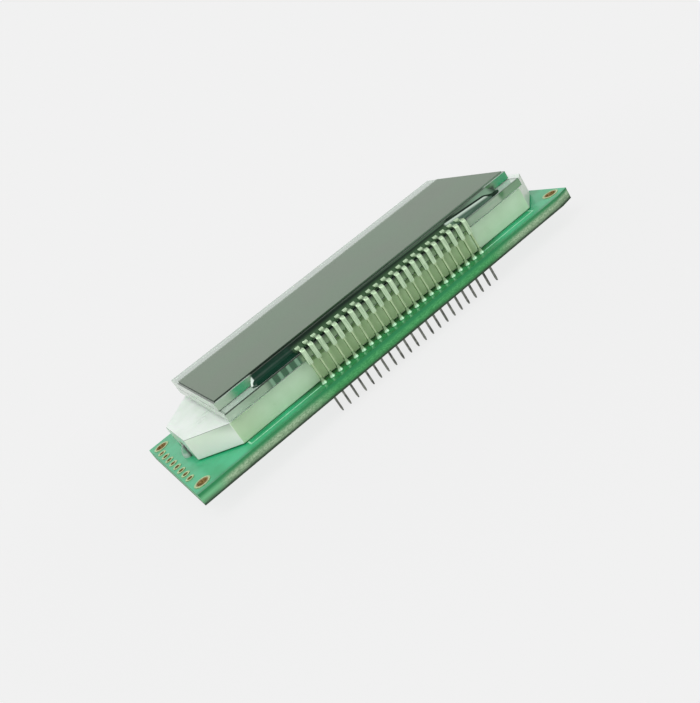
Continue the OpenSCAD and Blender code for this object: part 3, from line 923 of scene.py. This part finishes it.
def seen_directly(tree):
    """1 where the camera, a mirror or clear glass looks at the stage, and 0 for light that bounces."""
    path = add_node(tree, "ShaderNodeLightPath").outputs
    mirrored = step(tree, "MAXIMUM", path["Is Glossy Ray"], path["Is Transmission Ray"])
    return step(tree, "MAXIMUM", path["Is Camera Ray"], mirrored)


def mix_shaders(tree, share, first, second):
    """The output of a mix of two shaders."""
    mixer = add_node(tree, "ShaderNodeMixShader", Fac=share)
    tree.links.new(first, mixer.inputs[1])
    tree.links.new(second, mixer.inputs[2])
    return mixer.outputs["Shader"]


def floor_finish():
    """Pale floor that keeps a soft shadow close to the part and fades into the background."""
    material = bpy.data.materials.new("pale_floor")
    material.use_nodes = True
    tree = material.node_tree
    tree.nodes.clear()
    place = add_node(tree, "ShaderNodeNewGeometry").outputs["Position"]
    away = add_node(tree, "ShaderNodeVectorMath", {"operation": "LENGTH"}, Vector=place)
    shadow = ramp(tree, away.outputs["Value"], *SHADOW_FADE, SHADOW_SHARE, 0.0)
    glow = all_of(tree, seen_directly(tree), step(tree, "SUBTRACT", 1.0, shadow))
    lit = add_node(tree, "ShaderNodeBsdfDiffuse", Color=FLOOR_COLOUR).outputs["BSDF"]
    plain = add_node(tree, "ShaderNodeEmission", Color=BACKGROUND).outputs["Emission"]
    output = add_node(tree, "ShaderNodeOutputMaterial")
    tree.links.new(mix_shaders(tree, glow, lit, plain), output.inputs["Surface"])
    return material


def pale_floor():
    """A wide floor under the lowest point of the part."""
    mesh = bmesh.new()
    bmesh.ops.create_grid(mesh, x_segments=FLOOR_CELLS, y_segments=FLOOR_CELLS, size=FLOOR_SIZE)
    floor = new_object("floor", mesh, floor_finish())
    floor.location.z = cad_box[0][Z]


def surroundings():
    """Even light from all around, seen as the plain background."""
    world = bpy.data.worlds.new("studio")
    bpy.context.scene.world = world
    world.use_nodes = True
    tree = world.node_tree
    tree.nodes.clear()
    kind = "ShaderNodeBackground"
    ambient = add_node(tree, kind, Color=AMBIENT_COLOUR, Strength=AMBIENT).outputs["Background"]
    backdrop = add_node(tree, kind, Color=BACKGROUND).outputs["Background"]
    output = add_node(tree, "ShaderNodeOutputWorld")
    tree.links.new(mix_shaders(tree, seen_directly(tree), ambient, backdrop), output.inputs["Surface"])


def soft_light(name, place, size, power):
    """A square soft light that faces the part."""
    data = bpy.data.lights.new(name, "AREA")
    data.size = size
    data.energy = power
    lamp = bpy.data.objects.new(name, data)
    lamp.location = place
    lamp.rotation_euler = (-Vector(place)).to_track_quat("-Z", "Y").to_euler()
    bpy.context.collection.objects.link(lamp)


def camera():
    """The photograph's view: turned round the part, tilted down and then rolled."""
    level_right = Vector((math.cos(CAMERA_AZIMUTH), -math.sin(CAMERA_AZIMUTH), 0.0))
    level_ahead = Vector((math.sin(CAMERA_AZIMUTH), math.cos(CAMERA_AZIMUTH), 0.0))
    ahead = level_ahead * math.cos(CAMERA_ELEVATION) - Vector((0.0, 0.0, math.sin(CAMERA_ELEVATION)))
    level_up = level_right.cross(ahead)
    right = level_right * math.cos(CAMERA_ROLL) - level_up * math.sin(CAMERA_ROLL)
    turn = Matrix((right, right.cross(ahead), -ahead)).transposed().to_4x4()
    data = bpy.data.cameras.new("camera")
    data.sensor_fit = "HORIZONTAL"
    data.sensor_width = SENSOR_WIDTH
    data.lens = FOCAL_PIXELS / PHOTO_WIDTH * SENSOR_WIDTH
    data.clip_start = CAMERA_NEAR
    view = bpy.data.objects.new("camera", data)
    view.matrix_world = Matrix.Translation(CAMERA_PLACE) @ turn
    bpy.context.collection.objects.link(view)
    bpy.context.scene.camera = view


dress_all()
printed_outline()
pale_floor()
surroundings()
soft_light("key", **KEY_LIGHT)
soft_light("fill", **FILL_LIGHT)
camera()
bpy.context.scene.view_settings.view_transform = "Standard"
